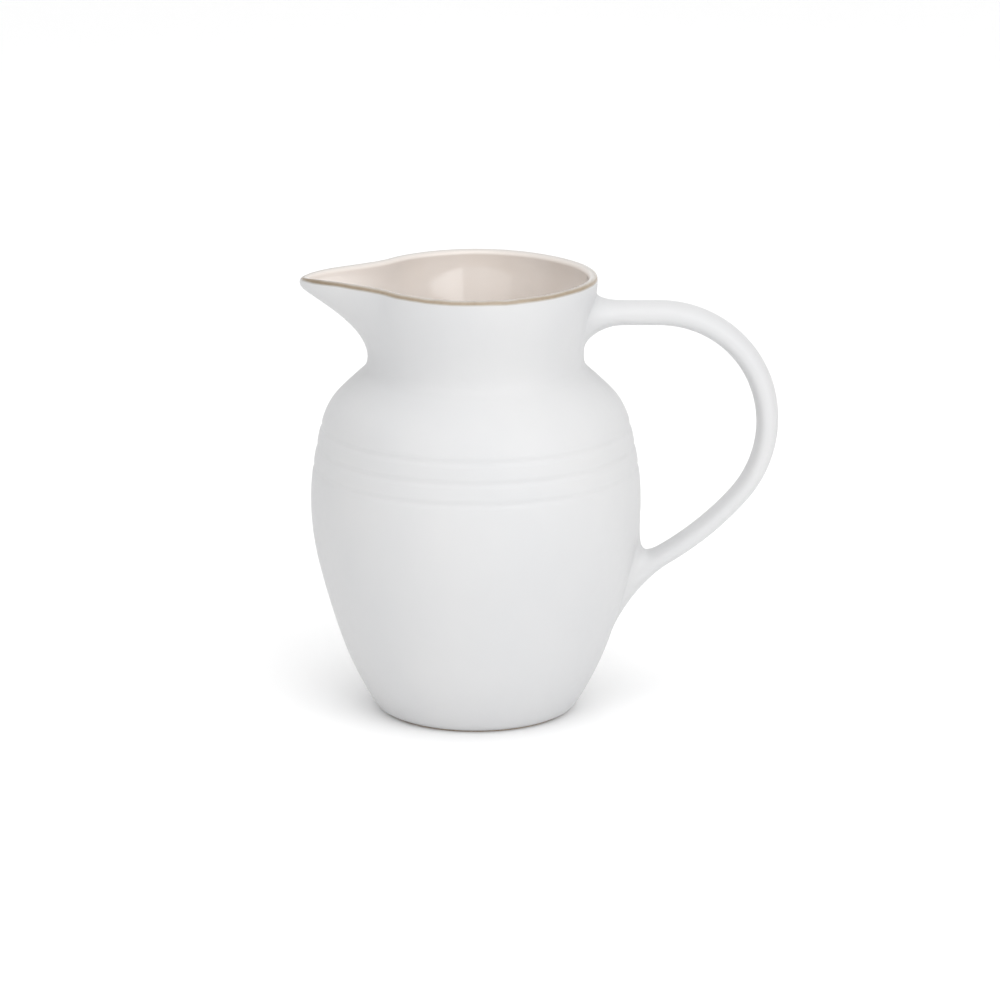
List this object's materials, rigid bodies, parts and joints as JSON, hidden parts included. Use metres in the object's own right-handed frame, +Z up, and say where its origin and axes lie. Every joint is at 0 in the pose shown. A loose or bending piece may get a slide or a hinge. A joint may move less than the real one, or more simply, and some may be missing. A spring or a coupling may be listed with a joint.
{
  "type": "ceramic pitcher",
  "caption": "Round-bellied glazed stoneware pitcher with a flared mouth, a pulled pouring spout and an arched strap handle.",
  "frame": {"origin": "middle of the foot ring, on the surface the pitcher stands on", "axes": "+Z up through the middle of the belly and neck, -X towards the spout, +X towards the handle, +Y across"},
  "size_m": [0.2208, 0.1532, 0.2065],
  "materials": {
    "bare_stoneware": "matte, fine grained, unglazed fired clay",
    "white_glaze": "satin white glaze",
    "cream_glaze": "glossy warm cream glaze",
    "rim_glaze": "satin glaze, thin and brown where it breaks over the lip"
  },
  "bodies": {
    "root": {"stoneware_wall": "bare_stoneware", "exterior_glaze": "white_glaze", "interior_glaze": "cream_glaze", "rim_band": "rim_glaze", "foot_ring": "bare_stoneware", "handle": "bare_stoneware", "handle_glaze": "white_glaze", "upper_handle_joint": "white_glaze", "lower_handle_joint": "white_glaze"}
  },
  "joints": []
}
